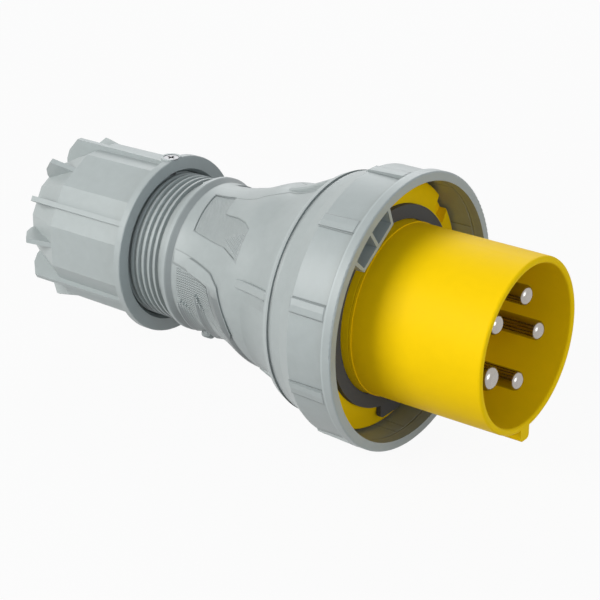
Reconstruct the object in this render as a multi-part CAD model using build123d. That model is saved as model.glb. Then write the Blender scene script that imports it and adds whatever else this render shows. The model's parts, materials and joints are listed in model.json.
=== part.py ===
from build123d import *
import os
from math import atan2, cos, degrees

# Industrial plug with five round pins, a yellow contact carrier, a locking ring and a cable gland.
# Millimetres and degrees. The origin is on the plug's axis, in the plane of the sealing face.
# +X points out of the sleeve's mouth and +Z is up.
# Outlines of turned pieces are corners (x, radius).
# Angles about the axis run clockwise from the top, seen from the mouth.

# Gaps between pieces
running_gap = 0.08
seat_gap = 0.1
hole_gap = 0.1
ring_play = 0.3
thread_gap = 0.4
cone_gap = 0.3

# Sleeve and its key
sleeve_length = 62.5
sleeve_radius = 35.5
sleeve_wall = 2.8
sleeve_lip_round = 1.1
sleeve_root_length = 4.5
sleeve_root_step = 0.3
key_width = 6.4
key_height = 4.7
key_round = 1.8
key_angle = 180

# Floor, flange and spigot of the contact carrier
floor_front_x = 6.0
floor_thickness = 12.0
gasket_thickness = 2.3
gasket_recess = 0.3
gasket_width = 5.7
gasket_inner_gap = 0.3
gasket_tab_width = 15.0
gasket_tab_length = 5.2
gasket_tab_round = 2.0
flange_overhang = 0.7
flange_depth = 6.7
flange_face_drop = 2.0
flange_rim_round = 1.2
spigot_step = 5.5
spigot_wall = 4.0
spigot_length = 15.0
spigot_lug_count = 3
spigot_lug_width = 20.0
spigot_lug_height = 1.9
spigot_lug_length = 3.6
spigot_lug_setback = 0.4
spigot_lug_angle = 60.0

# Notch in the flange and the key that locks the carrier
notch_angle = 53.0
notch_width = 10.0
notch_depth = 8.0
notch_round = 2.0
lock_plate_thickness = 1.5
lock_stem_width = 7.0
lock_stem_height = 2.0
lock_stem_drop = 3.3
lock_stem_length = 4.0

# Contacts
contact_count = 5
contact_pitch_radius = 18.5
earth_angle = 240.0
phase_pin_radius = 4.0
earth_pin_radius = 5.0
pin_tip_x = 57.2
pin_tip_rounding = 0.55
collar_width = 3.5
collar_thickness = 3.0
pin_land_height = 0.5
terminal_wall = 2.1
earth_terminal_wall = 3.1
terminal_length = 28.0
conductor_radius = 4.2
conductor_depth = 18.0
terminal_screw_radius = 2.5
earth_terminal_screw_radius = 3.0
terminal_screw_first = 14.0
terminal_screw_pitch = 8.0
terminal_screw_standout = 3.5
slot_width = 0.9
slot_depth = 1.2

# Retainer behind the contacts
retainer_side_room = 3.5
retainer_thickness = 4.0
barrier_thickness = 2.0
barrier_radius = 25.0
barrier_length = 23.0
hub_radius = 8.0
hub_wall = 2.0
retainer_screw_count = 3
retainer_screw_angle = 60.0
retainer_screw_edge = 4.0
retainer_screw_radius = 1.65
retainer_screw_reach = 8.0
retainer_head_radius = 3.0
retainer_head_height = 2.6
retainer_head_round = 0.9
cross_length = 3.4
cross_width = 0.9
cross_depth = 1.3

# Seal between flange and housing
seal_section_radius = 1.1
seal_ring_standoff = 2.3
seal_groove_side_gap = 0.2
seal_groove_floor_gap = 0.05

# Housing: flange, barrel, body, collar and threaded neck.
# The body's curve is (run behind the barrel, share of the height between neck and barrel).
housing_flange_height = 4.3
housing_flange_thickness = 5.4
housing_flange_round = 0.6
barrel_wall = 3.8
body_curve = ((7.8, 0.735), (16.3, 0.561), (24.8, 0.503), (35.8, 0.239), (50.8, 0.013))
body_length = 60.7
body_end_step = 0.4
body_wall = 3.0
collar_height = 1.7
collar_cone_length = 2.4
collar_length = 4.3
collar_round = 0.4
neck_length = 48.8
thread_crest_radius = 31.1
thread_depth = 1.4
thread_pitch = 3.0
thread_crest_width = 1.0
thread_foot_width = 2.2
neck_passage_radius = 22.0
seal_seat_radius = 25.4
seal_seat_depth = 26.0

# Bayonet sockets in the housing's bore
bayonet_wall_gap = 0.3
bayonet_entry_extra = 2.0

# Ribs and snap noses behind the locking ring
shoulder_rib_count = 5
shoulder_rib_angle = 285.7
shoulder_rib_width = 3.9
shoulder_rib_length = 21.0
shoulder_rib_foot_drop = 6.8
shoulder_rib_middle = 12.0
shoulder_rib_middle_drop = 4.0
shoulder_rib_round = 0.8
snap_nose_height = 1.2
snap_nose_length = 1.2

# Grips on the body, on both sides. Corners are (x, distance across from the patch's own angle).
upper_grip_angle = 325.0
upper_grip_depth = 0.4
upper_grip_round = 1.2
upper_grip = (
    (-84.2, 12.0), (-82.4, -7.6), (-62.3, -12.8), (-52.0, -18.3), (-52.0, -4.6),
    (-55.6, -2.0), (-62.2, 0.6), (-71.4, 2.4), (-73.4, 12.6),
)
lower_grip_angle = 262.0
lower_grip_height = 0.8
lower_grip_round = 2.4
lower_grip_outer = ((-86.4, 16.4), (-66.2, 13.6), (-60.6, 10.4), (-54.8, -2.0), (-50.7, -15.4))
lower_grip_inner = ((-86.4, 11.0), (-67.9, 7.4), (-63.4, -4.3), (-58.8, -16.8))
ridge_angle = 238.0
rear_ridge_outline = (
    (-86.6, 8.4), (-84.9, 9.3), (-80.7, 5.4), (-77.2, -1.0), (-74.6, -13.2), (-86.6, -13.2),
)
rear_ridge_slope = ((-86.2, 33.1), (-77.0, 30.9))
front_ridge_outline = (
    (-75.6, 15.2), (-74.3, 14.2), (-72.2, 9.6), (-69.1, 4.9), (-65.5, -1.0), (-65.5, -13.2), (-75.6, -13.2),
)
front_ridge_slope = ((-75.2, 33.6), (-66.5, 32.4))
grip_knob_angle = 209.0
grip_knob_x = -82.4
grip_knob_radius = 2.9
grip_knob_top = 34.6
grip_knob_round = 1.6

# Locking ring
ring_front_x = 10.0
ring_bore_gap = 2.1
ring_wall = 3.8
ring_band_width = 4.5
ring_panel_depth = 1.3
ring_panel_length = 16.5
ring_back_wall = 3.5
ring_shoulder_height = 2.0
ring_web_length = 13.1
ring_lip_drop = 1.3
ring_groove_depth = 0.8
ring_groove_width = 1.5
ring_lip_length = 3.0
ring_edge_round = 0.7
ring_rib_count = 10
ring_rib_width = 5.5
ring_rib_draft = 0.7
ring_rib_chamfer = 1.2
ring_lug_angle = 325.0
ring_lug_count = 2
ring_lug_width = 30.0
ring_lug_height = 9.6
ring_lug_front_set_back = 0.3
ring_lug_length = 10.7
ring_lug_wall = 1.5
ring_lug_pocket_depth = 8.5

# Gland nut
nut_standoff = 17.7
nut_rim_height = 7.0
nut_rim_length = 3.2
nut_rim_round = 0.5
nut_facets = 12
nut_facet_front_wall = 3.2
nut_facet_back_wall = 2.6
nut_facet_overlap = 2.6
nut_exit_radius = 23.8
nut_tail_length = 20.3
nut_mouth_widening = 1.5
nut_mouth_depth = 2.5
nut_shoulder_setback = 5.0
nut_cone_front_room = 3.4
nut_cone_back_drop = 1.7
nut_cone_length = 13.5
cable_exit_step = 0.9
nut_rib_count = 6
nut_rib_width = 2.2
nut_rib_height = 4.9
nut_rib_setback = 0.5
fin_tip_height = 4.7
fin_front_height = 2.4
fin_tip_setback = 7.5
fin_shoulder_setback = 2.3
fin_shoulder_radius = 30.3
fin_foot_setback = 0.7
fin_foot_radius = 26.0

# Lock screw in the nut's rim
lock_screw_setback = 2.9
lock_boss_radius = 4.4
lock_boss_height = 0.4
lock_head_radius = 3.2
lock_head_depth = 1.6
lock_head_recess = 0.2
lock_shank_radius = 1.9
lock_tip_gap = 0.2

# Cable seal, clamp basket and thrust ring
cable_seal_bore_radius = 13.5
cable_seal_groove_radius = 15.5
cable_seal_length = 17.8
cable_seal_lips = 4
cable_seal_lip_length = 2.0
basket_base_length = 5.8
basket_length = 16.8
basket_bore_radius = 17.0
basket_finger_step = 0.6
basket_finger_taper = 3.4
basket_slots = 10
basket_slot_width = 2.0
nut_travel = 12.2
thrust_ring_setback = 2.0
thrust_ring_length = 8.0
thrust_ring_tip_wall = 1.3

# Places along the axis that follow from the sizes above
mouth_x = sleeve_length
floor_back_x = floor_front_x - floor_thickness
seat_x = -gasket_thickness
flange_face_x = seat_x + gasket_recess
flange_rim_x = flange_face_x - flange_face_drop
flange_back_x = seat_x - flange_depth
spigot_back_x = flange_back_x - spigot_length
spigot_lug_back_x = spigot_back_x + spigot_lug_setback
housing_front_x = flange_back_x - seat_gap
housing_flange_back_x = housing_front_x - housing_flange_thickness
ring_web_front_x = housing_flange_back_x - ring_play
ring_back_x = ring_web_front_x - ring_web_length
barrel_back_x = ring_back_x - ring_play
collar_front_x = barrel_back_x - body_length
collar_back_x = collar_front_x - collar_length
neck_back_x = collar_back_x - neck_length
seal_seat_x = neck_back_x + seal_seat_depth
contact_collar_back_x = floor_back_x - seat_gap
retainer_front_x = contact_collar_back_x - seat_gap
retainer_back_x = retainer_front_x - retainer_thickness
retainer_screw_tip_x = retainer_front_x + retainer_screw_reach
terminal_back_x = contact_collar_back_x - terminal_length
cable_seal_front_x = seal_seat_x - 2 * seat_gap
cable_seal_back_x = cable_seal_front_x - cable_seal_length
basket_front_x = cable_seal_back_x - 2 * seat_gap
basket_base_back_x = basket_front_x - basket_base_length
basket_back_x = basket_front_x - basket_length
nut_front_x = collar_back_x - nut_standoff
nut_rim_back_x = nut_front_x - nut_rim_length
nut_shoulder_x = basket_back_x - nut_shoulder_setback
nut_cone_back_x = nut_shoulder_x - nut_cone_length
nut_facet_back_x = nut_shoulder_x + nut_facet_overlap
nut_back_x = nut_facet_back_x - nut_tail_length

# Radii that follow from the sizes above
sleeve_bore_radius = sleeve_radius - sleeve_wall
sleeve_root_radius = sleeve_radius + sleeve_root_step
key_top_radius = sleeve_radius + key_height
gasket_bore_radius = sleeve_root_radius + gasket_inner_gap
gasket_radius = gasket_bore_radius + gasket_width
seat_radius = gasket_radius + gasket_inner_gap
spigot_radius = sleeve_radius + spigot_step
spigot_bore_radius = spigot_radius - spigot_wall
retainer_radius = spigot_bore_radius - retainer_side_room
retainer_screw_pitch_radius = retainer_radius - retainer_screw_edge
spigot_lug_radius = spigot_radius + spigot_lug_height
housing_bore_radius = spigot_radius + bayonet_wall_gap
bayonet_radius = spigot_lug_radius + bayonet_wall_gap
seal_ring_radius = bayonet_radius + seal_ring_standoff
barrel_radius = bayonet_radius + barrel_wall
housing_flange_radius = barrel_radius + housing_flange_height
flange_radius = housing_flange_radius + flange_overhang
lock_stem_radius = housing_flange_radius - lock_stem_drop
neck_root_radius = thread_crest_radius - thread_depth
body_end_radius = thread_crest_radius + body_end_step
collar_radius = body_end_radius + collar_height
ring_bore_radius = housing_flange_radius + ring_bore_gap
ring_radius = ring_bore_radius + ring_wall
ring_back_radius = barrel_radius + ring_back_wall
ring_panel_radius = ring_radius - ring_panel_depth
nut_bore_radius = thread_crest_radius + thread_gap
nut_rim_radius = nut_bore_radius + nut_rim_height
basket_radius = seal_seat_radius - 2 * hole_gap
basket_finger_front_radius = basket_radius - basket_finger_step
basket_finger_tip_radius = basket_finger_front_radius - basket_finger_taper
nut_cone_front_radius = basket_finger_front_radius + nut_cone_front_room
nut_cone_back_radius = basket_finger_tip_radius - nut_cone_back_drop
cable_exit_radius = nut_cone_back_radius - cable_exit_step

contact_step = 360 / contact_count
phase_nodes = ("neutral_pin", "line_pin_3", "line_pin_2", "line_pin_1")
phase_angles = [earth_angle + contact_step * (i + 1) for i in range(len(phase_nodes))]
barrier_angles = [earth_angle + contact_step * (i + 0.5) for i in range(contact_count)]
retainer_screw_angles = [
    retainer_screw_angle + 360 / retainer_screw_count * i for i in range(retainer_screw_count)
]


def turned(corners, rounds=()):
    """Solid of revolution about the plug's axis. Each of rounds is (corner, radius of its rounding)."""
    outline = make_face(Polyline(*corners, close=True))
    for corner, radius in rounds:
        outline = fillet(outline.vertices().sort_by_distance(corner)[0], radius)
    return revolve(Plane.XZ * outline, Axis.X)


def rod(radius, back_x, front_x):
    """Solid cylinder on the plug's axis."""
    return turned(((back_x, 0), (back_x, radius), (front_x, radius), (front_x, 0)))


def sector(back_x, front_x, inner, outer, width):
    """Part of a tube, width degrees wide, centred on the top."""
    outline = make_face(
        Polyline((back_x, inner), (back_x, outer), (front_x, outer), (front_x, inner), close=True)
    )
    return around(revolve(Plane.XZ * outline, Axis.X, width), width / 2)


def lengthwise(outline, back_x, front_x):
    """An outline drawn across the axis, with its second direction up, extruded along the axis."""
    return extrude(Plane.YZ.offset(back_x) * outline, front_x - back_x)


def blade(corners, thickness):
    """A flat fin that stands on the axis plane at the top, from corners (x, radius)."""
    outline = make_face(Polyline(*corners, close=True))
    return extrude(Plane.XZ * outline, thickness / 2, both=True)


def upright(radius, x, bottom, top):
    """Solid cylinder across the axis, pointing up at x."""
    rise = (Align.CENTER, Align.CENTER, Align.MIN)
    return Pos(x, 0, bottom) * Cylinder(radius, top - bottom, align=rise)


def around(shape, angle):
    """Turn a shape from the top to its angle about the axis."""
    return Rot(-angle, 0, 0) * shape


def ring_of(shape, count, first=0.0):
    """Copies of a shape at even steps about the axis."""
    return [around(shape, first + 360 / count * i) for i in range(count)]


def at_contact(shape, angle):
    """Move a shape from the plug's axis to a contact's place."""
    return around(Pos(0, 0, contact_pitch_radius) * shape, angle)


def both_sides(shape):
    """A shape and its mirror image across the upright plane on the axis."""
    return [shape, mirror(shape, Plane.XZ)]


def cross_recess(length, width, depth):
    """Cross for a driver, cut downwards from z = 0."""
    arm = Pos(0, 0, -depth / 2) * Box(length, width, depth)
    return arm + Rot(0, 0, 90) * arm


def contact_carrier():
    shell = turned(
        (
            (floor_front_x, 0),
            (floor_front_x, sleeve_bore_radius),
            (mouth_x, sleeve_bore_radius),
            (mouth_x, sleeve_radius),
            (sleeve_root_length, sleeve_radius),
            (sleeve_root_length, sleeve_root_radius),
            (seat_x, sleeve_root_radius),
            (seat_x, seat_radius),
            (flange_face_x, seat_radius),
            (flange_rim_x, flange_radius),
            (flange_back_x, flange_radius),
            (flange_back_x, spigot_radius),
            (spigot_back_x, spigot_radius),
            (spigot_back_x, spigot_bore_radius),
            (floor_back_x, spigot_bore_radius),
            (floor_back_x, 0),
        ),
        rounds=(
            ((mouth_x, sleeve_bore_radius), sleeve_lip_round),
            ((mouth_x, sleeve_radius), sleeve_lip_round),
            ((flange_rim_x, flange_radius), flange_rim_round),
        ),
    )
    shell += sleeve_key()
    lug = sector(
        spigot_lug_back_x,
        spigot_lug_back_x + spigot_lug_length,
        spigot_bore_radius + spigot_wall / 2,
        spigot_lug_radius,
        spigot_lug_width,
    )
    shell += ring_of(lug, spigot_lug_count, spigot_lug_angle)
    shell -= around(notch(0), notch_angle)
    for angle in phase_angles:
        shell -= contact_hole(phase_pin_radius, angle)
    shell -= contact_hole(earth_pin_radius, earth_angle)
    return shell - retainer_screw_holes(floor_back_x, retainer_screw_tip_x + hole_gap)


def retainer_screw_holes(back_x, front_x):
    hole = Pos(0, 0, retainer_screw_pitch_radius) * rod(retainer_screw_radius + hole_gap, back_x, front_x)
    return [around(hole, angle) for angle in retainer_screw_angles]


def sleeve_key():
    """Key along the sleeve, with a rounded top and flush with the mouth."""
    foot = sleeve_bore_radius + sleeve_wall / 2
    outline = Pos(0, (foot + key_top_radius) / 2) * Rectangle(key_width, key_top_radius - foot)
    outline = fillet(outline.vertices().group_by(Axis.Y)[-1], key_round)
    return around(lengthwise(outline, seat_x - seat_gap, mouth_x), key_angle)


def notch(shrink):
    """The flange's notch, at the top, as the space cut out or, smaller by shrink, what fills it."""
    inner = flange_radius - notch_depth + shrink
    outer = flange_radius - shrink if shrink else flange_radius + notch_round
    outline = Pos(0, (inner + outer) / 2) * Rectangle(notch_width - 2 * shrink, outer - inner)
    outline = fillet(outline.vertices().group_by(Axis.Y)[0], notch_round - shrink)
    return lengthwise(outline, flange_back_x, flange_face_x)


def contact_hole(pin_radius, angle):
    """Hole for a pin, with the seat for its collar at the back of the floor."""
    hole = rod(pin_radius + pin_land_height + hole_gap, floor_back_x, floor_front_x)
    seat = rod(pin_radius + collar_width + hole_gap, floor_back_x, floor_back_x + collar_thickness)
    return at_contact(hole + seat, angle)


def carrier_lock():
    """Plate in the bottom of the notch, with a stem into the housing."""
    plate = notch(hole_gap) & rod(flange_radius, flange_back_x, flange_back_x + lock_plate_thickness)
    stem = Pos(0, lock_stem_radius + lock_stem_height / 2) * Rectangle(lock_stem_width, lock_stem_height)
    stem = lengthwise(stem, flange_back_x - lock_stem_length, flange_back_x)
    return around(plate + stem, notch_angle)


def flange_gasket():
    """Flat seal round the sleeve, with a tab outside the key."""
    disc = rod(gasket_radius, seat_x, 0)
    tab_top = gasket_radius + gasket_tab_length
    tab = Pos(0, tab_top / 2) * Rectangle(gasket_tab_width, tab_top)
    tab = fillet(tab.vertices().group_by(Axis.Y)[-1], gasket_tab_round)
    disc += around(lengthwise(tab, flange_face_x, 0), key_angle)
    slot_top = key_top_radius + gasket_inner_gap
    slot = Pos(0, slot_top / 2) * Rectangle(key_width + 2 * gasket_inner_gap, slot_top)
    slot = fillet(slot.vertices().group_by(Axis.Y)[-1], key_round)
    disc -= around(lengthwise(slot, seat_x, 0), key_angle)
    return disc - rod(gasket_bore_radius, seat_x, 0)


def contact_pin(pin_radius, wall, screw_radius, angle):
    """Turned pin with its collar and the land in the floor, and behind them its terminal."""
    terminal_radius = conductor_radius + wall
    step_radius = pin_radius + collar_width
    land_radius = pin_radius + pin_land_height
    step_front_x = contact_collar_back_x + collar_thickness
    tip_round = pin_radius * pin_tip_rounding
    pin = turned(
        (
            (terminal_back_x, 0),
            (terminal_back_x, terminal_radius),
            (contact_collar_back_x, terminal_radius),
            (contact_collar_back_x, step_radius),
            (step_front_x, step_radius),
            (step_front_x, land_radius),
            (floor_front_x, land_radius),
            (floor_front_x, pin_radius),
            (pin_tip_x, pin_radius),
            (pin_tip_x, 0),
        ),
        rounds=(((pin_tip_x, pin_radius), tip_round),),
    )
    pin -= rod(conductor_radius, terminal_back_x, terminal_back_x + conductor_depth)
    for x in terminal_screw_places():
        pin -= upright(screw_radius + hole_gap / 2, x, 0, terminal_radius + hole_gap)
    return at_contact(pin, angle)


def terminal_screw_places():
    """Where the two clamping screws of a terminal stand along the axis."""
    first = contact_collar_back_x - terminal_screw_first
    return (first, first - terminal_screw_pitch)


def terminal_screw_pair(wall, screw_radius, angle):
    """Two slotted set screws of one terminal, backed off so that its bore is free."""
    screws = []
    top = conductor_radius + wall + terminal_screw_standout
    for x in terminal_screw_places():
        screw = upright(screw_radius, x, conductor_radius, top)
        screw -= Pos(x, 0, top - slot_depth / 2) * Box(slot_width, 2 * screw_radius, slot_depth)
        screws.append(at_contact(screw, angle))
    return screws


def terminal_screws():
    screws = []
    for angle in phase_angles:
        screws += terminal_screw_pair(terminal_wall, terminal_screw_radius, angle)
    return Compound(children=screws)


def earth_terminal_screws():
    return Compound(
        children=terminal_screw_pair(earth_terminal_wall, earth_terminal_screw_radius, earth_angle)
    )


def contact_retainer():
    """Plate that holds the collars in the floor, with a hub and a wall between each two terminals."""
    plate = rod(retainer_radius, retainer_back_x, retainer_front_x)
    wall_back_x = retainer_back_x - barrier_length
    plate += rod(hub_radius, wall_back_x, retainer_back_x)
    middle = (hub_radius + barrier_radius) / 2
    wall = Pos(0, middle) * Rectangle(barrier_thickness, barrier_radius - hub_radius + hub_wall)
    wall = lengthwise(wall, wall_back_x, retainer_back_x)
    plate += [around(wall, angle) for angle in barrier_angles]
    plate -= rod(hub_radius - hub_wall, wall_back_x, retainer_front_x)
    clear_phase = rod(conductor_radius + terminal_wall + 2 * hole_gap, retainer_back_x, retainer_front_x)
    plate -= [at_contact(clear_phase, angle) for angle in phase_angles]
    clear_earth = rod(
        conductor_radius + earth_terminal_wall + 2 * hole_gap, retainer_back_x, retainer_front_x
    )
    plate -= at_contact(clear_earth, earth_angle)
    return plate - retainer_screw_holes(retainer_back_x, retainer_front_x)


def retainer_screws():
    """Pan head screws that hold the retainer against the floor."""
    head_back_x = retainer_back_x - retainer_head_height
    screw = turned(
        (
            (head_back_x, 0),
            (head_back_x, retainer_head_radius),
            (retainer_back_x, retainer_head_radius),
            (retainer_back_x, retainer_screw_radius),
            (retainer_screw_tip_x, retainer_screw_radius),
            (retainer_screw_tip_x, 0),
        ),
        rounds=(((head_back_x, retainer_head_radius), retainer_head_round),),
    )
    recess = Pos(head_back_x, 0, 0) * Rot(0, -90, 0) * cross_recess(cross_length, cross_width, cross_depth)
    screw = Pos(0, 0, retainer_screw_pitch_radius) * (screw - recess)
    return Compound(children=[around(screw, angle) for angle in retainer_screw_angles])


def seal_centre_x():
    """Place along the axis of the seal's section in its groove."""
    return housing_front_x - seal_groove_floor_gap - seal_section_radius


def housing_seal():
    section = Plane.XZ * Pos(seal_centre_x(), seal_ring_radius) * Circle(seal_section_radius)
    return revolve(section, Axis.X)


def body_points(offset):
    """Places (x, radius) on the body's curve, larger all round by offset."""
    height = barrel_radius - body_end_radius
    return [(barrel_back_x - run, body_end_radius + share * height + offset) for run, share in body_curve]


def body_at(offset):
    """The curved body between barrel and collar as a solid, larger all round by offset."""
    points = [(barrel_back_x, barrel_radius + offset)]
    points += body_points(offset)
    points.append((collar_front_x, body_end_radius + offset))
    lid = Polyline(points[-1], (collar_front_x, 0), (barrel_back_x, 0), points[0])
    return revolve(Plane.XZ * make_face(Spline(*points).edges() + lid.edges()), Axis.X)


def over_body(corners, angle, rounding=0.0):
    """Upright prism through one side of the body, from corners (x, distance across)."""
    outline = make_face(Polyline(*corners, close=True))
    if rounding:
        outline = fillet(outline.vertices(), rounding)
    prism = extrude(Pos(0, 0, neck_passage_radius) * outline, ring_radius)
    return around(prism, angle)


def wedge(outline, slope):
    """Raised wave of the grip: its crest and foot are (x, radius), its outline is seen from outside."""
    crest, foot = slope
    wave = turned(((crest[0], 0), crest, foot, (foot[0], 0)))
    return over_body(outline, ridge_angle) & wave


def housing_outside():
    shell = turned(
        (
            (housing_front_x, 0),
            (housing_front_x, housing_flange_radius),
            (housing_flange_back_x, housing_flange_radius),
            (housing_flange_back_x, barrel_radius),
            (barrel_back_x, barrel_radius),
            (barrel_back_x, 0),
        ),
        rounds=(((housing_front_x, housing_flange_radius), housing_flange_round),),
    )
    shell += body_at(0)
    shell += turned(
        (
            (collar_front_x, 0),
            (collar_front_x, body_end_radius),
            (collar_front_x - collar_cone_length, collar_radius),
            (collar_back_x, collar_radius),
            (collar_back_x, neck_root_radius),
            (neck_back_x, neck_root_radius),
            (neck_back_x, 0),
        ),
        rounds=(((collar_back_x, collar_radius), collar_round),),
    )
    rib_back_x = barrel_back_x - shoulder_rib_length
    foot_radius = barrel_radius - shoulder_rib_foot_drop
    rib = blade(
        (
            (rib_back_x, foot_radius - body_wall),
            (rib_back_x, foot_radius),
            (barrel_back_x - shoulder_rib_middle, barrel_radius - shoulder_rib_middle_drop),
            (barrel_back_x - snap_nose_length, barrel_radius + snap_nose_height),
            (barrel_back_x, barrel_radius + snap_nose_height),
            (barrel_back_x, barrel_radius - body_wall),
        ),
        shoulder_rib_width,
    )
    crest = rib.faces().filter_by(lambda face: face.normal_at().Z > 0.5)
    rib = fillet(crest.edges().filter_by(Plane.XZ), shoulder_rib_round)
    shell += ring_of(rib, shoulder_rib_count, shoulder_rib_angle)
    return shell


def with_grips(shell):
    """Add the recessed upper grips and the raised frames and ridges below them, on both sides."""
    field = over_body(upper_grip, upper_grip_angle, upper_grip_round) - body_at(-upper_grip_depth)
    shell -= both_sides(field)
    frame = over_body(lower_grip_outer, lower_grip_angle, lower_grip_round)
    frame -= over_body(lower_grip_inner, lower_grip_angle)
    shell += both_sides(frame & body_at(lower_grip_height))
    shell += both_sides(wedge(rear_ridge_outline, rear_ridge_slope))
    shell += both_sides(wedge(front_ridge_outline, front_ridge_slope))
    knob = upright(grip_knob_radius, grip_knob_x, body_end_radius - body_wall / 2, grip_knob_top)
    knob = fillet(knob.edges().group_by(Axis.Z)[-1], grip_knob_round)
    return shell + both_sides(around(knob, grip_knob_angle))


def housing_inside():
    """The hollow of the housing, from the spigot's bore to the seat of the cable seal."""
    hollow = rod(housing_bore_radius, barrel_back_x, housing_front_x)
    points = [(barrel_back_x, housing_bore_radius)]
    points += body_points(-body_wall)
    waist = points[-1]
    lid = Polyline(
        waist,
        (collar_front_x, neck_passage_radius),
        (seal_seat_x, neck_passage_radius),
        (seal_seat_x, seal_seat_radius),
        (neck_back_x, seal_seat_radius),
        (neck_back_x, 0),
        (barrel_back_x, 0),
        points[0],
    )
    hollow += revolve(Plane.XZ * make_face(Spline(*points).edges() + lid.edges()), Axis.X)
    socket_back_x = spigot_back_x - bayonet_wall_gap
    socket_front_x = spigot_lug_back_x + spigot_lug_length + bayonet_wall_gap
    hollow += rod(bayonet_radius, socket_back_x, socket_front_x)
    entry = sector(
        socket_front_x,
        housing_front_x,
        housing_bore_radius - bayonet_wall_gap,
        bayonet_radius,
        spigot_lug_width + 2 * bayonet_entry_extra,
    )
    half_step = 180 / spigot_lug_count
    return hollow + ring_of(entry, spigot_lug_count, spigot_lug_angle + half_step)


def seal_groove():
    depth = 2 * (seal_section_radius + seal_groove_floor_gap)
    half_width = seal_section_radius + seal_groove_side_gap
    back_x = housing_front_x - depth
    outer = rod(seal_ring_radius + half_width, back_x, housing_front_x)
    return outer - rod(seal_ring_radius - half_width, back_x, housing_front_x)


def lock_pocket():
    """Pocket in the housing's flange for the stem of the carrier's lock."""
    height = lock_stem_height + 2 * hole_gap
    outline = Pos(0, lock_stem_radius + lock_stem_height / 2) * Rectangle(
        lock_stem_width + 2 * hole_gap, height
    )
    back_x = flange_back_x - lock_stem_length - 2 * hole_gap
    return around(lengthwise(outline, back_x, housing_front_x), notch_angle)


def thread():
    """Helical ridge on the neck."""
    length = neck_length - 2 * thread_pitch
    path = Helix(thread_pitch, length, neck_root_radius, center=(0, 0, thread_pitch))
    section = Plane(origin=path @ 0, x_dir=(1, 0, 0), z_dir=path % 0)
    outline = make_face(
        Polyline(
            (-thread_depth / 2, -thread_foot_width / 2),
            (thread_depth, -thread_crest_width / 2),
            (thread_depth, thread_crest_width / 2),
            (-thread_depth / 2, thread_foot_width / 2),
            close=True,
        )
    )
    ridge = sweep(section * outline, path=path, is_frenet=True)
    return Pos(collar_back_x, 0, 0) * Rot(0, -90, 0) * ridge


def housing():
    shell = with_grips(housing_outside()) - housing_inside()
    shell -= seal_groove()
    shell -= lock_pocket()
    return shell + thread()


def bayonet_ring():
    panel_front_x = ring_front_x - ring_band_width
    panel_back_x = panel_front_x - ring_panel_length
    groove_front_x = ring_back_x + ring_lip_length + ring_groove_width
    lip_front_x = ring_back_x + ring_lip_length
    groove_radius = ring_back_radius - ring_groove_depth
    shell = turned(
        (
            (ring_front_x, ring_bore_radius),
            (ring_front_x, ring_radius),
            (panel_front_x, ring_radius),
            (panel_front_x, ring_panel_radius),
            (panel_back_x, ring_panel_radius),
            (panel_back_x - ring_panel_depth, ring_panel_radius - ring_panel_depth / 2),
            (ring_web_front_x - 2 * ring_panel_depth, ring_back_radius + ring_shoulder_height),
            (groove_front_x + ring_groove_width / 2, ring_back_radius),
            (groove_front_x, ring_back_radius),
            (groove_front_x, groove_radius),
            (lip_front_x, groove_radius),
            (lip_front_x, ring_back_radius),
            (ring_back_x, ring_back_radius - ring_lip_drop),
            (ring_back_x, barrel_radius + running_gap),
            (ring_web_front_x, barrel_radius + running_gap),
            (ring_web_front_x, housing_flange_radius + ring_play),
            (housing_flange_back_x + 2 * ring_panel_depth, ring_bore_radius),
        ),
        rounds=(((ring_front_x, ring_radius), ring_edge_round),),
    )
    rib = blade(
        (
            (panel_front_x, ring_bore_radius + ring_panel_depth),
            (panel_front_x, ring_radius),
            (panel_back_x + ring_rib_chamfer, ring_radius - ring_rib_draft),
            (panel_back_x, ring_radius - ring_rib_draft),
            (panel_back_x - ring_rib_chamfer, ring_panel_radius - ring_rib_chamfer / 2),
            (panel_back_x, ring_bore_radius + ring_panel_depth),
        ),
        ring_rib_width,
    )
    shell += ring_of(rib, ring_rib_count)
    return shell + ring_of(ring_lug(), ring_lug_count, ring_lug_angle)


def ring_lug():
    """Cored locking lug at the top: a straight inner wall, two side walls and a middle web."""
    lug_front_x = ring_front_x - ring_lug_front_set_back
    lug_back_x = lug_front_x - ring_lug_length
    pocket_back_x = lug_front_x - ring_lug_pocket_depth
    outer = ring_bore_radius + ring_panel_depth
    chord = ring_bore_radius - ring_lug_height
    block = sector(lug_back_x, lug_front_x, chord - ring_lug_wall, outer, ring_lug_width)
    above = Pos(0, chord + outer / 2) * Rectangle(2 * outer, outer)
    block &= lengthwise(above, lug_back_x, lug_front_x)
    wall_angle = degrees(ring_lug_wall / ring_bore_radius)
    cell = sector(pocket_back_x, lug_front_x, chord, ring_radius, ring_lug_width - 2 * wall_angle)
    inside = Pos(0, chord + ring_lug_wall + outer / 2) * Rectangle(2 * outer, outer)
    web = Pos(0, outer / 2) * Rectangle(ring_lug_wall, 2 * outer)
    cell &= lengthwise(inside - web, pocket_back_x, lug_front_x)
    return block - cell


def facet_outline(apothem):
    return RegularPolygon(apothem, nut_facets, major_radius=False, rotation=180 / nut_facets)


def faceted(back_x, back_apothem, front_x, front_apothem):
    """Tapered solid with flat sides between two places on the axis."""
    ends = [
        Plane.YZ.offset(back_x) * facet_outline(back_apothem),
        Plane.YZ.offset(front_x) * facet_outline(front_apothem),
    ]
    return loft(ends, ruled=True)


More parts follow.
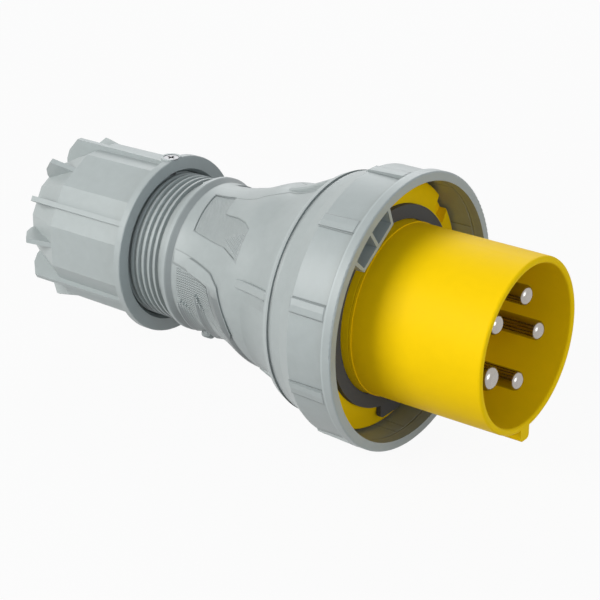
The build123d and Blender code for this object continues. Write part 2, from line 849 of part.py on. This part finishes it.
def nut_inside():
    return turned(
        (
            (nut_front_x, 0),
            (nut_front_x, nut_bore_radius + nut_mouth_widening),
            (nut_front_x - nut_mouth_depth, nut_bore_radius),
            (nut_shoulder_x, nut_bore_radius),
            (nut_shoulder_x, nut_cone_front_radius),
            (nut_cone_back_x, nut_cone_back_radius),
            (nut_cone_back_x, cable_exit_radius),
            (nut_back_x, cable_exit_radius),
            (nut_back_x, 0),
        )
    )


def nut_fin(front_corners):
    """Fin over the nut's tail, from its front corners to its foot at the cable's exit."""
    return blade(
        front_corners
        + (
            (nut_back_x + fin_tip_setback, nut_bore_radius + fin_tip_height),
            (nut_back_x + fin_shoulder_setback, fin_shoulder_radius),
            (nut_back_x + fin_foot_setback, fin_foot_radius),
            (nut_back_x + fin_foot_setback, cable_exit_radius + body_wall / 2),
            (nut_facet_back_x, nut_bore_radius + seat_gap),
        ),
        nut_rib_width,
    )


def gland_nut():
    rim = turned(
        (
            (nut_rim_back_x, 0),
            (nut_rim_back_x, nut_rim_radius),
            (nut_front_x, nut_rim_radius),
            (nut_front_x, 0),
        ),
        rounds=(((nut_front_x, nut_rim_radius), nut_rim_round),),
    )
    front_apothem = nut_bore_radius + nut_facet_front_wall
    back_apothem = nut_bore_radius + nut_facet_back_wall
    rim += faceted(nut_facet_back_x, back_apothem, nut_rim_back_x, front_apothem)
    rim += faceted(nut_back_x, nut_exit_radius, nut_facet_back_x, back_apothem)
    rib_front_x = nut_rim_back_x + nut_rib_setback
    long_rib = nut_fin(
        (
            (rib_front_x, nut_bore_radius + seat_gap),
            (rib_front_x, nut_bore_radius + nut_rib_height),
        )
    )
    short_fin = nut_fin(((nut_facet_back_x, nut_bore_radius + fin_front_height),))
    rim += ring_of(long_rib, nut_rib_count)
    rim += ring_of(short_fin, nut_rib_count, 180 / nut_rib_count)
    screw_x = nut_front_x - lock_screw_setback
    boss = upright(lock_boss_radius, screw_x, nut_bore_radius + seat_gap, nut_rim_radius + lock_boss_height)
    rim += boss & rod(2 * nut_rim_radius, nut_back_x, nut_front_x)
    rim -= nut_inside()
    return rim - lock_screw_space(hole_gap, screw_x)


def lock_screw_space(gap, x):
    """The lock screw's outline about an upright axis, larger by gap: cone of the head, then shank."""
    head_top = nut_rim_radius + lock_boss_height - lock_head_recess
    shank_radius = lock_shank_radius + gap
    head_radius = lock_head_radius + gap
    top = head_top if gap == 0 else nut_rim_radius + lock_boss_height
    tip = thread_crest_radius + (lock_tip_gap if gap == 0 else 0)
    outline = make_face(
        Polyline(
            (0, tip),
            (shank_radius, tip),
            (shank_radius, head_top - lock_head_depth),
            (head_radius, head_top - lock_head_recess),
            (head_radius, top),
            (0, top),
            close=True,
        )
    )
    return Pos(x, 0, 0) * revolve(Plane.XZ * outline, Axis.Z)


def lock_screw():
    x = nut_front_x - lock_screw_setback
    top = nut_rim_radius + lock_boss_height - lock_head_recess
    return lock_screw_space(0, x) - Pos(x, 0, top) * cross_recess(cross_length, cross_width, cross_depth)


def cable_seal():
    """Rubber sleeve with lips inside, on its seat in the neck."""
    groove = (cable_seal_length - cable_seal_lips * cable_seal_lip_length) / (cable_seal_lips - 1)
    sleeve = rod(basket_radius, cable_seal_back_x, cable_seal_front_x)
    sleeve -= rod(cable_seal_bore_radius, cable_seal_back_x, cable_seal_front_x)
    for i in range(cable_seal_lips - 1):
        front_x = cable_seal_front_x - cable_seal_lip_length - i * (cable_seal_lip_length + groove)
        sleeve -= rod(cable_seal_groove_radius, front_x - groove, front_x)
    return sleeve


def clamp_basket():
    """Ring with fingers that close on the cable's jacket when the nut is tightened."""
    ring = turned(
        (
            (basket_front_x, basket_bore_radius),
            (basket_front_x, basket_radius),
            (basket_base_back_x, basket_radius),
            (basket_base_back_x, basket_finger_front_radius),
            (basket_back_x, basket_finger_tip_radius),
            (basket_back_x, basket_bore_radius),
        )
    )
    slot_length = basket_base_back_x - basket_back_x
    slot = Pos((basket_base_back_x + basket_back_x) / 2, 0, basket_radius / 2) * Box(
        slot_length, basket_slot_width, basket_radius
    )
    return ring - ring_of(slot, basket_slots)


def nut_cone_radius(x):
    """Radius of the nut's inner cone at x."""
    share = (nut_shoulder_x - x) / nut_cone_length
    return nut_cone_front_radius + share * (nut_cone_back_radius - nut_cone_front_radius)


def thrust_ring():
    """Slip ring between the nut's cone and the basket's fingers, clear of both over the travel."""
    lean = atan2(nut_cone_front_radius - nut_cone_back_radius, nut_cone_length)
    clear = cone_gap / cos(lean)
    front_x = nut_shoulder_x - thrust_ring_setback
    back_x = front_x - thrust_ring_length
    finger_length = basket_base_back_x - basket_back_x
    finger_slope = (basket_finger_front_radius - basket_finger_tip_radius) / finger_length
    reach_over_fingers = front_x + nut_travel - basket_back_x
    finger_radius = basket_finger_tip_radius + finger_slope * reach_over_fingers
    return turned(
        (
            (front_x, finger_radius + clear),
            (front_x, nut_cone_radius(front_x) - clear),
            (back_x, nut_cone_radius(back_x) - clear),
            (back_x, nut_cone_radius(back_x) - clear - thrust_ring_tip_wall),
        )
    )


nodes = {
    "housing": housing,
    "contact_carrier": contact_carrier,
    "flange_gasket": flange_gasket,
    "bayonet_ring": bayonet_ring,
    "gland_nut": gland_nut,
    "lock_screw": lock_screw,
    "carrier_lock": carrier_lock,
    "housing_seal": housing_seal,
    "contact_retainer": contact_retainer,
    "retainer_screws": retainer_screws,
    "terminal_screws": terminal_screws,
    "earth_terminal_screws": earth_terminal_screws,
    "cable_seal": cable_seal,
    "clamp_basket": clamp_basket,
    "thrust_ring": thrust_ring,
}

os.makedirs("parts", exist_ok=True)
for node, make in nodes.items():
    export_step(make(), f"parts/{node}.step")
for node, angle in zip(phase_nodes, phase_angles):
    pin = contact_pin(phase_pin_radius, terminal_wall, terminal_screw_radius, angle)
    export_step(pin, f"parts/{node}.step")
earth_pin = contact_pin(earth_pin_radius, earth_terminal_wall, earth_terminal_screw_radius, earth_angle)
export_step(earth_pin, "parts/earth_pin.step")
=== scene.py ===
"""Looks of the industrial plug: finishes of its mouldings, rubber and metal, the floor, light and camera."""
import json
import math

import bpy
import numpy as np
from mathutils import Matrix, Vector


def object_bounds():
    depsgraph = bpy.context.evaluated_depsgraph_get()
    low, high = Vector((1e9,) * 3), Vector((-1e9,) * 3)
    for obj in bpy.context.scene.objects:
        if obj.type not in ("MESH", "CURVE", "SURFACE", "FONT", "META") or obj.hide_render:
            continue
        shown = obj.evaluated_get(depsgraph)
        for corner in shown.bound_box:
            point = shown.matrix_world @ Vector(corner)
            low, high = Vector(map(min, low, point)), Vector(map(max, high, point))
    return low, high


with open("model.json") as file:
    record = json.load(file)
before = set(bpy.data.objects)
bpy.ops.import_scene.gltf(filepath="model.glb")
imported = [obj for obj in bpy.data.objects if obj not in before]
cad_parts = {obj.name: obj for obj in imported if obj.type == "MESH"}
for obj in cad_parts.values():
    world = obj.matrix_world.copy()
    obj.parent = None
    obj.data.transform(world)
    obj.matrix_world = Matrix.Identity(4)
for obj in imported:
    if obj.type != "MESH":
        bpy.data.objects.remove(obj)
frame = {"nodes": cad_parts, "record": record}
cad_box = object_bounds()

MM = 1000.0
DEGREE = math.radians(1.0)
FULL_WAVE = 2.0 * math.pi

GREY = (0.375, 0.412, 0.412)
# Colour of the painted shade on the body's steep faces and the collar's cone.
SHADED_GREY = (0.16, 0.175, 0.18)
YELLOW = (0.93, 0.585, 0.002)
GASKET_GREY = (0.08, 0.078, 0.078)
SEAL_BLACK = (0.022, 0.022, 0.022)
NICKEL = (0.42, 0.39, 0.36)
ZINC = (0.17, 0.167, 0.175)
RETAINER_BLACK = (0.035, 0.035, 0.04)
BASKET_GREY = (0.2, 0.21, 0.22)

# Finishes by the material slot that each is for.
FINISHES = {}


class Field:
    """A number that varies over a surface, so that patterns can be written as maths on sockets.
    Lengths are in millimetres."""

    def __init__(self, finish, socket):
        self.finish = finish
        self.socket = socket

    def do(self, operation, *others):
        return self.finish.make("ShaderNodeMath", {"operation": operation}, dict(enumerate((self, *others))))

    def __add__(self, other):
        return self.do("ADD", other)

    def __sub__(self, other):
        return self.do("SUBTRACT", other)

    def __rsub__(self, other):
        return self.finish.make("ShaderNodeMath", {"operation": "SUBTRACT"}, {0: other, 1: self})

    def __mul__(self, other):
        return self.do("MULTIPLY", other)

    def __truediv__(self, other):
        return self.do("DIVIDE", other)

    def __abs__(self):
        return self.do("ABSOLUTE")

    def sin(self):
        return self.do("SINE")

    def least(self, other):
        return self.do("MINIMUM", other)

    def most(self, other):
        return self.do("MAXIMUM", other)

    def clip(self, low, high):
        return self.most(low).least(high)

    def rise(self, start, end):
        """0 below start, 1 above end, and straight between them."""
        return ((self - start) / (end - start)).clip(0.0, 1.0)

    def line(self, width):
        """1 where the number is 0, falling to 0 at width to either side."""
        return 1.0 - (abs(self) / width).clip(0.0, 1.0)


class Finish:
    """One material: its Principled shader, its place on the part in millimetres and a maker of its nodes."""

    DARKEST = 0.72
    LIGHTEST = 1.12

    def __init__(self, slot, color, roughness, gloss=0.5, metallic=0.0):
        self.material = bpy.data.materials.new(slot)
        self.material.use_nodes = True
        self.tree = self.material.node_tree
        self.shader = self.tree.nodes["Principled BSDF"]
        self.color = color
        self.roughness = roughness
        self.shader.inputs["Roughness"].default_value = roughness
        self.shader.inputs["Specular IOR Level"].default_value = gloss
        self.shader.inputs["Metallic"].default_value = metallic
        self.point = self.make("ShaderNodeTexCoord", output="Object")
        self.x, self.y, self.z = self.parts(self.point)
        FINISHES[slot] = self

    def make(self, kind, settings=None, inputs=None, output=0):
        """Any node: its settings first, then the values or links of its sockets."""
        node = self.tree.nodes.new(kind)
        for name, value in (settings or {}).items():
            setattr(node, name, value)
        for name, value in (inputs or {}).items():
            if isinstance(value, Field):
                self.tree.links.new(value.socket, node.inputs[name])
            else:
                node.inputs[name].default_value = value
        return Field(self, node.outputs[output])

    def parts(self, vector):
        node = self.make("ShaderNodeSeparateXYZ", inputs={0: vector}).socket.node
        return [Field(self, socket) * MM for socket in node.outputs]

    def radius(self):
        return (self.y * self.y + self.z * self.z).do("SQRT")

    def turn(self):
        """Degrees from the top about the plug's axis, the same on both sides."""
        return abs(self.y).do("ARCTAN2", self.z) * math.degrees(1.0)

    def stretched(self, scale):
        """The place scaled along each direction, for grain that runs one way."""
        return self.make("ShaderNodeVectorMath", {"operation": "MULTIPLY"}, {0: self.point, 1: scale})

    def noise(self, scale, detail=2.0, vector=None):
        inputs = {"Vector": vector or self.point, "Scale": scale, "Detail": detail}
        return self.make("ShaderNodeTexNoise", inputs=inputs)

    def mix(self, factor, first, second):
        """Colour between two colours. Sockets 6 and 7 and output 2 of the node are the ones for colours."""
        inputs = {"Factor": factor, 6: first, 7: second}
        return self.make("ShaderNodeMix", {"data_type": "RGBA"}, inputs, output=2)

    def paint(self, shade, tint=None, other=None):
        """Base colour: the finish's own, from darkest to lightest as shade goes from 0 to 1, and then mixed
        with another by tint."""
        dark = tuple(self.DARKEST * c for c in self.color) + (1.0,)
        light = tuple(min(1.0, self.LIGHTEST * c) for c in self.color) + (1.0,)
        color = self.mix(shade.clip(0.0, 1.0), dark, light)
        if tint is not None:
            color = self.mix(tint, color, other + (1.0,))
        self.tree.links.new(color.socket, self.shader.inputs["Base Color"])

    def dull(self, field, spread):
        """Roughness that varies about the finish's own."""
        rough = (field - 0.5) * spread + self.roughness
        self.tree.links.new(rough.clip(0.03, 1.0).socket, self.shader.inputs["Roughness"])

    def relief(self, height):
        """Fine relief, its height in millimetres."""
        bump = self.make("ShaderNodeBump", inputs={"Strength": 1.0, "Distance": 1.0 / MM, "Height": height})
        self.tree.links.new(bump.socket, self.shader.inputs["Normal"])


def polygon(x, across, corners):
    """Signed distance inside a convex outline, positive inside: least distance to any of its sides.
    Corners run so that the inside is on the left of each side."""
    inside = None
    for (xa, wa), (xb, wb) in zip(corners, corners[1:] + corners[:1]):
        length = math.hypot(xb - xa, wb - wa)
        off = (across - wa) * ((xb - xa) / length) - (x - xa) * ((wb - wa) / length)
        inside = off if inside is None else inside.least(off)
    return inside


def bent_line(x, corners):
    """Height of a line of straight runs over x: first height plus each run's slope times the way along it."""
    line = corners[0][1]
    for (xa, ha), (xb, hb) in zip(corners, corners[1:]):
        line = (x - xa).clip(0.0, xb - xa) * ((hb - ha) / (xb - xa)) + line
    return line


def moulding_grain(finish, depth=0.012):
    """Skin of a satin moulding: soft patches a few millimetres wide and a grain of a third of one."""
    return finish.noise(260.0, 3.0), finish.noise(3200.0, 2.0) * depth


def grey_moulding(slot):
    """Light grey satin plastic of the body, the locking ring and the nut, still without paint and relief."""
    finish = Finish(slot, GREY, 0.42, gloss=0.45)
    patches, grain = moulding_grain(finish)
    finish.dull(patches, 0.12)
    return finish, patches, grain


# Places on the locking ring: along x, the least radius of its outside, and its ribs.
RING_OUTSIDE = 49.0
RING_GROOVE_X = -24.1
RING_LIP_X = -26.6
RING_PANEL_REAR_X = -11.4
RING_BAND_FOOT_X = 5.2
RING_BAND_EDGE_X = 6.1
RING_RIB_STEP = 36.0
RING_RIB_HALF_WIDTH = 2.75


def ring_finish():
    """Locking ring: faint turning marks, slightly rounded ribs, fine dents beside its ribs, at the foot of
    its front band and in a groove at its rear, with painted shade in them, and painted highlights on its rear
    lip and the edge of its front band."""
    finish, patches, grain = grey_moulding("ring_plastic")
    marks = finish.noise(1400.0, 1.0, finish.stretched((1.0, 0.06, 0.06)))
    outside = finish.radius().rise(RING_OUTSIDE, RING_OUTSIDE + 0.4)
    groove = (finish.x - RING_GROOVE_X).line(1.3) * outside
    lip = (finish.x - RING_LIP_X).line(1.0) * outside
    from_rib = finish.turn().do("PINGPONG", 0.5 * RING_RIB_STEP) * finish.radius() * DEGREE
    behind_band = 1.0 - finish.x.rise(RING_BAND_FOOT_X - 0.2, RING_BAND_FOOT_X + 0.3)
    on_panel = finish.x.rise(RING_PANEL_REAR_X, RING_PANEL_REAR_X + 0.5) * behind_band * outside
    rib_edge_shade = (from_rib - (RING_RIB_HALF_WIDTH + 0.2)).line(0.45) * on_panel
    crown = (1.0 - (from_rib / RING_RIB_HALF_WIDTH).clip(0.0, 1.0)) * on_panel
    band_foot_shade = (finish.x - RING_BAND_FOOT_X).line(0.5) * outside
    band_edge_highlight = (finish.x - RING_BAND_EDGE_X).line(0.5) * outside
    # Painted highlights on the rear lip and the front band's edge; painted shade in the rear groove, beside
    # the ribs and at the foot of the front band.
    light = lip * 0.35 + band_edge_highlight * 0.5
    shaded_edges = rib_edge_shade.most(band_foot_shade)
    finish.paint(patches * 0.3 + 0.5 - groove * 0.35 - shaded_edges * 0.6 + light)
    finish.relief(grain + marks * 0.01 - groove * 0.1 - shaded_edges * 0.25 + crown * 0.3)


def nut_finish():
    """Gland nut: the same moulding, with slightly drawn marks along its facets."""
    finish, patches, grain = grey_moulding("nut_plastic")
    finish.paint(patches * 0.3 + 0.55)
    drawn = finish.noise(1500.0, 1.0, finish.stretched((0.05, 1.0, 1.0)))
    finish.relief(grain + drawn * 0.015)


# Grips on the body. Outlines are (x, distance across from the grip's own turn), with the inside on the left.
UPPER_GRIP_TURN = 35.0
UPPER_GRIP = (
    ((-84.2, 12.0), (-82.4, -7.6), (-69.0, -11.07), (-71.4, 2.4), (-73.4, 12.6)),
    ((-77.0, -9.0), (-62.3, -12.8), (-58.9, -0.7), (-62.2, 0.6), (-71.4, 2.4), (-77.0, 3.45)),
    ((-66.0, -10.8), (-52.0, -18.3), (-52.0, -4.6), (-55.6, -2.0), (-62.2, 0.6), (-66.0, 1.35)),
)
SCORED_CORNER = ((-66.0, -9.0), (-52.0, -18.3), (-52.0, -6.0))
WEAVE_ALONG = 0.8
WEAVE_ACROSS = 0.95
SCORE_STEP = 1.25
LOWER_GRIP_TURN = 98.0
LOWER_BED = ((-99.0, 13.4), (-99.0, -26.0), (-55.4, -26.0), (-58.8, -16.8), (-63.4, -4.3), (-67.9, 7.4))
LOWER_FRAME = (
    (-99.0, 18.1), (-99.0, -26.0), (-47.5, -26.0), (-50.7, -15.4), (-54.8, -2.0), (-60.6, 10.4),
    (-66.2, 13.6),
)
FRAME_FACE_TOP = 9.5
STUD_STEP = 1.05
STUDS_REAR_X = -86.6
RIDGE_TURN = 122.0
REAR_RIDGE = (
    (-99.0, 9.3), (-99.0, -30.0), (-71.1, -30.0), (-74.6, -13.2), (-77.2, -1.0), (-80.7, 5.4),
    (-84.9, 9.3),
)
REAR_CREST_X = -86.4
REAR_FOOT_X = -76.0
FRONT_RIDGE = ((-99.0, 28.1), (-99.0, -30.0), (-65.5, -30.0), (-65.5, -1.0), (-69.1, 4.9), (-84.3, 28.1))
FRONT_CREST_X = -75.4
FRONT_FOOT_X = -66.0

# Parting line on top: (x, turn). It bends as the mould's edge does.
SEAM = ((-84.5, 12.2), (-73.3, 13.0), (-59.8, 16.6), (-52.4, 13.3), (-47.3, 8.1), (-28.0, 8.1))
SEAM_REAR_X = -84.8

# The collar's front end, the rear edge of its cone, and the slope low on the shoulder.
COLLAR_X = -88.6
COLLAR_CONE_REAR_X = -91.0
SHOULDER_SLOPE_X = -46.2
SHOULDER_SLOPE_LENGTH = 17.0
SHOULDER_SLOPE_TURN = 75.5


def across_at(finish, turn):
    """Distance across the body from the line at turn, seen straight on to that line."""
    return finish.radius() * ((turn - finish.turn()) * DEGREE).sin()


def upper_patch(x, over):
    """Distance inside the recessed grip: the most of its three convex parts."""
    rear, middle, front = (polygon(x, over, corners) for corners in UPPER_GRIP)
    return rear.most(middle).most(front)


def upper_grip_relief(x, over, patch):
    """Fine weave over the recessed grip, which gives way to scores across its lower front, and a groove round
    it."""
    scored = polygon(x, over, SCORED_CORNER).rise(0.0, 1.2)
    weave = (x * (FULL_WAVE / WEAVE_ALONG)).sin() * (over * (FULL_WAVE / WEAVE_ACROSS)).sin()
    scores = ((x * 0.55 + over * 0.83) * (FULL_WAVE / SCORE_STEP)).sin()
    pattern = scores * scored * 0.2 + weave * (1.0 - scored) * 0.12
    return pattern * patch.rise(0.4, 0.9) - patch.line(0.45) * 0.2


def lower_grip_frame(x, low):
    """Frame of the lower grip: distance inside its bed, distance inside its outer edge, its slope up to a
    crest at the bed, and the share of it that falls steeply forward, which gets a steeper slope and painted
    shade."""
    bed = polygon(x, low, LOWER_BED)
    frame_edge = polygon(x, low, LOWER_FRAME)
    steep_part = (FRAME_FACE_TOP - low).rise(0.0, 4.0)
    face = frame_edge.rise(0.2, 0.8) * (1.0 - bed.rise(-0.5, 0.0)) * steep_part
    slope = frame_edge.rise(0.2, 5.4) * (1.0 - bed.rise(-0.6, 0.3)) * (face * 2.0 + 0.6)
    return bed, frame_edge, slope, face


def ridge_relief(x, across):
    """Two sawtooth ridges, each falling forward from its sharp rear crest: their area, their height, the
    share of them just in front of a crest, for painted shade, and the crests, for painted highlights."""
    inside_rear = polygon(x, across, REAR_RIDGE).rise(0.0, 3.0) * x.rise(REAR_CREST_X - 1.0, REAR_CREST_X)
    inside_front = polygon(x, across, FRONT_RIDGE).rise(0.0, 1.6) * x.rise(FRONT_CREST_X - 0.5, FRONT_CREST_X)
    rear_height = (REAR_FOOT_X - x).clip(0.0, REAR_FOOT_X - REAR_CREST_X) * inside_rear * 0.13
    front_height = (FRONT_FOOT_X - x).clip(0.0, FRONT_FOOT_X - FRONT_CREST_X) * inside_front * 0.15
    # Masks for painted shade just in front of each crest and for a painted highlight along each crest.
    rear_face = inside_rear * (1.0 - x.rise(REAR_CREST_X + 0.8, REAR_CREST_X + 6.9))
    front_face = inside_front * (1.0 - x.rise(FRONT_CREST_X + 0.6, FRONT_CREST_X + 5.9))
    rear_crest = inside_rear * (x - (REAR_CREST_X + 0.2)).line(0.6)
    front_crest = inside_front * (x - (FRONT_CREST_X + 0.2)).line(0.6)
    crests = rear_crest.most(front_crest)
    shaded_faces = rear_face.most(front_face) - crests
    return inside_rear.most(inside_front), rear_height.most(front_height), shaded_faces, crests


def parting_line(finish):
    """Fine groove along the top: 1 on the line."""
    off_seam = (finish.turn() - bent_line(finish.x, SEAM)) * finish.radius() * DEGREE
    return off_seam.line(0.42) * finish.x.rise(SEAM_REAR_X, SEAM_REAR_X + 0.6)


def housing_finish():
    """Body: woven and scored upper grips, studded lower grips in a sloped frame with two ridges, a parting
    line and a slope low on the shoulder; painted shade in the parting line, round the upper grip, along the
    frame's edge, on its steep front, in front of the ridge crests and on the collar's cone, and painted
    highlights on the stud tops and crests."""
    finish, patches, grain = grey_moulding("housing_plastic")
    x = finish.x
    on_body = x.rise(COLLAR_X, COLLAR_X + 0.6)
    over = across_at(finish, UPPER_GRIP_TURN)
    patch = upper_patch(x, over)
    low = across_at(finish, LOWER_GRIP_TURN)
    bed, frame_edge, slope, face = lower_grip_frame(x, low)
    ridges, ridge_height, ridge_face_shade, ridge_crest_highlight = ridge_relief(x, across_at(finish, RIDGE_TURN))
    half_wave = math.pi / STUD_STEP
    bumps = abs((x * half_wave).sin()) * abs((low * half_wave).sin())
    on_bed = bed.rise(0.3, 0.8) * x.rise(STUDS_REAR_X, STUDS_REAR_X + 0.6)
    studs = bumps * on_bed * (1.0 - ridges * 0.8)
    # Painted highlight along the frame's crest, just outside the bed.
    crest = (bed + 0.45).line(0.6) * face
    seam = parting_line(finish)
    # Painted shade in the parting line, round the upper grip and along the frame's outer edge.
    groove_shade = seam.most(patch.line(0.45) * 0.5).most(frame_edge.line(0.4)) * on_body
    # Painted highlights on the stud tops and the crests, with painted shade between the studs.
    light = (studs * 1.1 + crest.most(ridge_crest_highlight) * 0.9) * on_body
    before_body = 1.0 - x.rise(COLLAR_X - 0.4, COLLAR_X + 0.4)
    # Painted shade on the collar's forward-facing cone.
    cone = x.rise(COLLAR_CONE_REAR_X - 0.3, COLLAR_CONE_REAR_X + 0.3) * before_body * 0.65
    # The steep frame front, the ridge fronts and the collar's cone are mixed towards SHADED_GREY as painted
    # shade.
    shaded_faces = ((face - crest).most(ridge_face_shade * bed.rise(0.0, 1.0)) * on_body).most(cone)
    finish.paint(patches * 0.3 + 0.46 - groove_shade * 0.75 + light, shaded_faces.clip(0.0, 1.0) * 0.75, SHADED_GREY)
    body_relief = (studs * 0.5 + slope + ridge_height) * on_body
    below = (finish.turn() - SHOULDER_SLOPE_TURN).rise(0.0, 8.0)
    sunk = (x - SHOULDER_SLOPE_X).clip(0.0, SHOULDER_SLOPE_LENGTH) * below * 0.14
    finish.relief(grain + upper_grip_relief(x, over, patch) + body_relief - sunk - seam * 0.3)


SLEEVE_ROOT_X = 3.2


def carrier_finish():
    """Yellow moulding of the sleeve: semi-matt, with faint flow marks and a fine seam at its root."""
    finish = Finish("carrier_plastic", YELLOW, 0.5, gloss=0.05)
    patches, grain = moulding_grain(finish, 0.008)
    flow = finish.noise(60.0, 2.0, finish.stretched((0.25, 1.0, 1.0)))
    finish.paint(patches * 0.15 + flow * 0.15 + 0.7)
    finish.dull(patches, 0.1)
    root = (finish.x - SLEEVE_ROOT_X).line(0.25)
    finish.relief(grain - root * 0.12)


def rubber(slot, color):
    """Matte rubber: fine pores and a faint bloom."""
    finish = Finish(slot, color, 0.72, gloss=0.35)
    bloom = finish.noise(150.0, 3.0)
    pores = finish.noise(4200.0, 2.0)
    finish.paint(bloom * 0.5 + pores * 0.3 + 0.1)
    finish.dull(bloom, 0.2)
    finish.relief(pores * 0.02)


def turned_metal(slot, color, roughness, scale):
    """Plated turned metal: fine marks from the tool, longest where scale is least, and slight clouding."""
    finish = Finish(slot, color, roughness, metallic=1.0)
    marks = finish.noise(2600.0, 2.0, finish.stretched(scale))
    cloud = finish.noise(220.0, 2.0)
    finish.paint(cloud * 0.4 + marks * 0.3 + 0.3)
    finish.dull(marks * 0.6 + cloud * 0.4, 0.16)
    finish.relief(marks * 0.006)


def filled_moulding(slot, color):
    """Glass-filled moulding: short light fibres in the skin."""
    finish = Finish(slot, color, 0.5)
    fibres = finish.noise(1900.0, 4.0, finish.stretched((0.3, 1.0, 1.0)))
    finish.paint(fibres.rise(0.35, 0.75))
    finish.dull(fibres, 0.2)
    finish.relief(fibres * 0.02)


housing_finish()
ring_finish()
nut_finish()
carrier_finish()
rubber("gasket_rubber", GASKET_GREY)
rubber("seal_rubber", SEAL_BLACK)
turned_metal("pin_plating", NICKEL, roughness=0.2, scale=(1.0, 0.3, 0.3))
turned_metal("screw_steel", ZINC, roughness=0.3, scale=(0.3, 0.3, 1.0))
filled_moulding("retainer_plastic", RETAINER_BLACK)
filled_moulding("basket_plastic", BASKET_GREY)

for row in frame["record"]["subparts"]:
    finish = FINISHES[row["material_slot"]]
    for slot in frame["nodes"][row["node"]].material_slots:
        slot.material = finish.material


def camera_rays(tree):
    """1 for rays from the camera and for those that a gloss or glass sends on."""
    path = tree.nodes.new("ShaderNodeLightPath")
    seen = path.outputs["Is Camera Ray"]
    for name in ("Is Glossy Ray", "Is Transmission Ray"):
        add = tree.nodes.new("ShaderNodeMath")
        add.operation = "MAXIMUM"
        tree.links.new(seen, add.inputs[0])
        tree.links.new(path.outputs[name], add.inputs[1])
        seen = add.outputs[0]
    return seen


def studio_world(level, color):
    """White surround for the eye, and a plain soft level of light for the part."""
    world = bpy.data.worlds.new("studio")
    bpy.context.scene.world = world
    world.use_nodes = True
    tree = world.node_tree
    background = tree.nodes["Background"]
    light = tree.nodes.new("ShaderNodeBackground")
    light.inputs["Color"].default_value = color + (1.0,)
    light.inputs["Strength"].default_value = level
    background.inputs["Color"].default_value = (1.0, 1.0, 1.0, 1.0)
    background.inputs["Strength"].default_value = 1.0
    mix = tree.nodes.new("ShaderNodeMixShader")
    tree.links.new(camera_rays(tree), mix.inputs[0])
    tree.links.new(light.outputs[0], mix.inputs[1])
    tree.links.new(background.outputs[0], mix.inputs[2])
    tree.links.new(mix.outputs[0], tree.nodes["World Output"].inputs["Surface"])


FLOOR_HALF = 3.0
FLOOR_GREY = 0.5
FLOOR_GLOW = 0.94


def studio_floor(height):
    """Wide floor at height, pale to the eye and grey to the light."""
    half = FLOOR_HALF
    corners = np.array([(-half, -half), (half, -half), (half, half), (-half, half)])
    points = np.column_stack([corners, np.full(4, height)])
    mesh = bpy.data.meshes.new("floor")
    mesh.from_pydata(points.tolist(), [], [(0, 1, 2, 3)])
    floor = bpy.data.objects.new("floor", mesh)
    bpy.context.scene.collection.objects.link(floor)
    material = bpy.data.materials.new("floor_white")
    material.use_nodes = True
    tree = material.node_tree
    shader = tree.nodes["Principled BSDF"]
    shader.inputs["Base Color"].default_value = 3 * (FLOOR_GREY,) + (1.0,)
    shader.inputs["Roughness"].default_value = 0.9
    shader.inputs["Specular IOR Level"].default_value = 0.0
    glow = tree.nodes.new("ShaderNodeEmission")
    share = tree.nodes.new("ShaderNodeMath")
    share.operation = "MULTIPLY"
    share.inputs[1].default_value = FLOOR_GLOW
    tree.links.new(camera_rays(tree), share.inputs[0])
    mix = tree.nodes.new("ShaderNodeMixShader")
    tree.links.new(share.outputs[0], mix.inputs[0])
    tree.links.new(shader.outputs[0], mix.inputs[1])
    tree.links.new(glow.outputs[0], mix.inputs[2])
    tree.links.new(mix.outputs[0], tree.nodes["Material Output"].inputs["Surface"])
    mesh.materials.append(material)


PLUG_MIDDLE = np.array((-0.055, 0.0, 0.0))


def lamp(name, toward, distance, size, power, color):
    """Square soft lamp in a direction from the plug's middle, turned to face it."""
    direction = np.array(toward) / np.linalg.norm(toward)
    side = np.cross((0.0, 0.0, 1.0), direction)
    side /= np.linalg.norm(side)
    data = bpy.data.lights.new(name, "AREA")
    data.shape = "SQUARE"
    data.size = size
    data.energy = power
    data.color = color
    lamp_object = bpy.data.objects.new(name, data)
    bpy.context.scene.collection.objects.link(lamp_object)
    spot = np.eye(4)
    spot[:3, :3] = np.column_stack([side, np.cross(direction, side), direction])
    spot[:3, 3] = PLUG_MIDDLE + distance * direction
    lamp_object.matrix_world = Matrix(spot.tolist())


SENSOR_WIDTH = 36.0
FOCAL_LENGTH = 116.72
# Rows of the camera's place. Its columns are the camera's right, up and back, and where it stands.
CAMERA_PLACE = (
    (0.80300, -0.24161, 0.54480, 0.391256),
    (0.59597, 0.32554, -0.73406, -0.589361),
    (0.0, 0.91414, 0.40540, 0.316225),
    (0.0, 0.0, 0.0, 1.0),
)


def photo_camera():
    """Camera fitted to the photograph."""
    data = bpy.data.cameras.new("camera")
    data.sensor_width = SENSOR_WIDTH
    data.lens = FOCAL_LENGTH
    camera = bpy.data.objects.new("camera", data)
    bpy.context.scene.collection.objects.link(camera)
    camera.matrix_world = Matrix(CAMERA_PLACE)
    bpy.context.scene.camera = camera


bpy.context.scene.view_settings.view_transform = "Standard"
studio_world(level=0.34, color=(0.95, 0.98, 1.0))
studio_floor(height=cad_box[0][2])
lamp("key", toward=(-0.45, -1.0, 0.65), distance=1.1, size=0.6, power=9.5, color=(1.0, 0.995, 0.975))
lamp("front", toward=(1.0, -0.3, 0.3), distance=1.2, size=0.6, power=3.9, color=(0.82, 0.92, 1.0))
lamp("fill", toward=(-0.5, 1.0, 0.7), distance=1.3, size=0.9, power=6.5, color=(0.97, 0.99, 1.0))
photo_camera()
